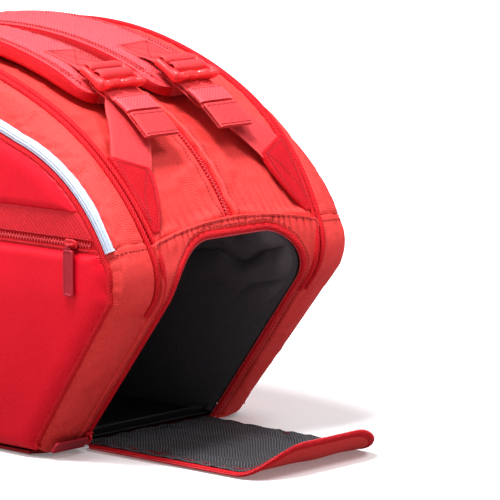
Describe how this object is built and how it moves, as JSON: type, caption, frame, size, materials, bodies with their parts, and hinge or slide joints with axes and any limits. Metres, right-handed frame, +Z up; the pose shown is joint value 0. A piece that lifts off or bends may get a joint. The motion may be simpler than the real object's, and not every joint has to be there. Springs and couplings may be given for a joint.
{
  "type": "racket tournament bag",
  "caption": "Wedge-ended racket holdall with side racket compartments, padded backpack straps and an end shoe tunnel behind a drop-down flap.",
  "frame": {"origin": "centre of the base, on the ground", "axes": "+X along the bag towards the shoe opening, +Y to the far side, +Z up"},
  "size_m": [0.6893, 0.2986, 0.3428],
  "materials": {
    "shell_fabric": "woven polyester, coral red, light diagonal weave",
    "moulded_panel": "satin moulded foam-backed sheet, crimson",
    "reflective_band": "satin white reflective strip",
    "zip_and_piping": "twill-wrapped cord and coil zip, red",
    "webbing": "flat woven webbing, coral red",
    "buckle": "satin moulded plastic, coral red",
    "slider": "painted die-cast metal, red",
    "puller": "moulded rubber, dark red",
    "lining": "plain woven lining, grey",
    "board": "stiff plastic sheet, black"
  },
  "bodies": {
    "bag_body": {"base_panel": "shell_fabric", "base_board": "board", "centre_panel_near": "shell_fabric", "centre_panel_far": "shell_fabric", "centre_zip": "zip_and_piping", "hidden_zip_inner_near": "zip_and_piping", "hidden_zip_inner_far": "zip_and_piping", "shoe_end_panel": "shell_fabric", "rear_end_panel": "shell_fabric", "shoe_tunnel": "lining", "shoe_opening_zip": "zip_and_piping", "divider_near": "lining", "divider_far": "lining", "adjuster_webbing_near": "webbing", "adjuster_webbing_far": "webbing", "wing_near": "webbing", "wing_far": "webbing", "rear_handle_anchors": "webbing"},
    "side_shell_near": {"hidden_zip_outer_near": "zip_and_piping", "upper_gusset_near": "shell_fabric", "lower_gusset_near_shoe": "shell_fabric", "lower_gusset_near_rear": "shell_fabric", "white_band_near": "reflective_band", "piping_near": "zip_and_piping", "upper_panel_near": "moulded_panel", "ribbed_strip_near": "shell_fabric", "pocket_zip_near": "zip_and_piping", "lower_panel_near": "moulded_panel"},
    "pocket_slider_near": {"pocket_slider_near": "slider"},
    "pocket_pull_near": {"pocket_pull_near": "puller"},
    "hidden_slider_near": {"hidden_slider_near": "slider"},
    "hidden_pull_near": {"hidden_pull_near": "puller"},
    "strap_near": {"strap_pad_near": "shell_fabric", "strap_patch_near": "webbing"},
    "ladder_lock_near": {"ladder_lock_near": "buckle"},
    "side_shell_far": {"hidden_zip_outer_far": "zip_and_piping", "upper_gusset_far": "shell_fabric", "lower_gusset_far_shoe": "shell_fabric", "lower_gusset_far_rear": "shell_fabric", "white_band_far": "reflective_band", "piping_far": "zip_and_piping", "upper_panel_far": "moulded_panel", "ribbed_strip_far": "shell_fabric", "pocket_zip_far": "zip_and_piping", "lower_panel_far": "moulded_panel"},
    "pocket_slider_far": {"pocket_slider_far": "slider"},
    "pocket_pull_far": {"pocket_pull_far": "puller"},
    "hidden_slider_far": {"hidden_slider_far": "slider"},
    "hidden_pull_far": {"hidden_pull_far": "puller"},
    "strap_far": {"strap_pad_far": "shell_fabric", "strap_patch_far": "webbing"},
    "ladder_lock_far": {"ladder_lock_far": "buckle"},
    "centre_slider": {"centre_slider": "slider"},
    "centre_pull": {"centre_pull": "puller"},
    "shoe_slider": {"shoe_slider": "slider"},
    "shoe_pull": {"shoe_pull": "puller"},
    "shoe_flap": {"flap_shell": "shell_fabric", "flap_lining": "lining", "flap_zip": "zip_and_piping"},
    "rear_handle": {"rear_handle": "webbing"}
  },
  "joints": [
    {"name": "open_side_near", "type": "hinge", "parent": "bag_body", "child": "side_shell_near", "pos_m": [0, -0.124, 0.002], "axis": [1, 0, 0], "range_deg": [0, 18]},
    {"name": "pocket_zip_travel_near", "type": "slide", "parent": "side_shell_near", "child": "pocket_slider_near", "axis": [1, 0, 0], "range_m": [-0.44, 0]},
    {"name": "pocket_pull_swing_near", "type": "hinge", "parent": "pocket_slider_near", "child": "pocket_pull_near", "pos_m": [0.238, -0.14709, 0.1845], "axis": [-1, 0, 0], "range_deg": [0, 150]},
    {"name": "hidden_zip_travel_near", "type": "hinge", "parent": "bag_body", "child": "hidden_slider_near", "pos_m": [0, -0.06578, -0.053], "axis": [0, 0.9903, 0.1386], "range_deg": [-8, 34]},
    {"name": "hidden_pull_swing_near", "type": "hinge", "parent": "hidden_slider_near", "child": "hidden_pull_near", "pos_m": [-0.11009, -0.11901, 0.32721], "axis": [0, 0.9903, 0.1386], "range_deg": [0, 150]},
    {"name": "strap_lift_near", "type": "hinge", "parent": "bag_body", "child": "strap_near", "pos_m": [-0.19356, -0.0445, 0.27875], "axis": [0, -1, 0], "range_deg": [0, 12], "deforming": ["adjuster_webbing_near"]},
    {"name": "ladder_lock_tilt_near", "type": "hinge", "parent": "strap_near", "child": "ladder_lock_near", "pos_m": [0.1768, -0.0445, 0.31379], "axis": [0, -1, 0], "range_deg": [0, 12]},
    {"name": "open_side_far", "type": "hinge", "parent": "bag_body", "child": "side_shell_far", "pos_m": [0, 0.124, 0.002], "axis": [-1, 0, 0], "range_deg": [0, 18]},
    {"name": "pocket_zip_travel_far", "type": "slide", "parent": "side_shell_far", "child": "pocket_slider_far", "axis": [1, 0, 0], "range_m": [-0.44, 0]},
    {"name": "pocket_pull_swing_far", "type": "hinge", "parent": "pocket_slider_far", "child": "pocket_pull_far", "pos_m": [0.238, 0.14709, 0.1845], "axis": [1, 0, 0], "range_deg": [0, 150]},
    {"name": "hidden_zip_travel_far", "type": "hinge", "parent": "bag_body", "child": "hidden_slider_far", "pos_m": [0, 0.06578, -0.053], "axis": [0, 0.9903, -0.1386], "range_deg": [-8, 34]},
    {"name": "hidden_pull_swing_far", "type": "hinge", "parent": "hidden_slider_far", "child": "hidden_pull_far", "pos_m": [-0.11009, 0.11901, 0.32721], "axis": [0, 0.9903, -0.1386], "range_deg": [0, 150]},
    {"name": "strap_lift_far", "type": "hinge", "parent": "bag_body", "child": "strap_far", "pos_m": [-0.19356, 0.0445, 0.27875], "axis": [0, -1, 0], "range_deg": [0, 12], "deforming": ["adjuster_webbing_far"]},
    {"name": "ladder_lock_tilt_far", "type": "hinge", "parent": "strap_far", "child": "ladder_lock_far", "pos_m": [0.1768, 0.0445, 0.31379], "axis": [0, -1, 0], "range_deg": [0, 12]},
    {"name": "centre_zip_travel", "type": "hinge", "parent": "bag_body", "child": "centre_slider", "pos_m": [0, 0, -0.12849], "axis": [0, 1, 0], "range_deg": [-8, 24]},
    {"name": "centre_pull_swing", "type": "hinge", "parent": "centre_slider", "child": "centre_pull", "pos_m": [-0.06362, 0, 0.32415], "axis": [0, 1, 0], "range_deg": [0, 150]},
    {"name": "shoe_zip_travel", "type": "slide", "parent": "bag_body", "child": "shoe_slider", "axis": [0.6018, 0, 0.7986], "range_m": [0, 0.14]},
    {"name": "shoe_pull_swing", "type": "hinge", "parent": "shoe_slider", "child": "shoe_pull", "pos_m": [0.19668, -0.0825, 0.01007], "axis": [0.6018, 0, 0.7986], "range_deg": [0, 90]},
    {"name": "close_shoe_flap", "type": "hinge", "parent": "bag_body", "child": "shoe_flap", "pos_m": [0.18183, 0, 0.0006], "axis": [0, -1, 0], "range_deg": [0, 53]},
    {"name": "rear_handle_swing", "type": "hinge", "parent": "bag_body", "child": "rear_handle", "pos_m": [-0.29607, 0, 0.159], "axis": [0, 1, 0], "range_deg": [0, 100]}
  ]
}
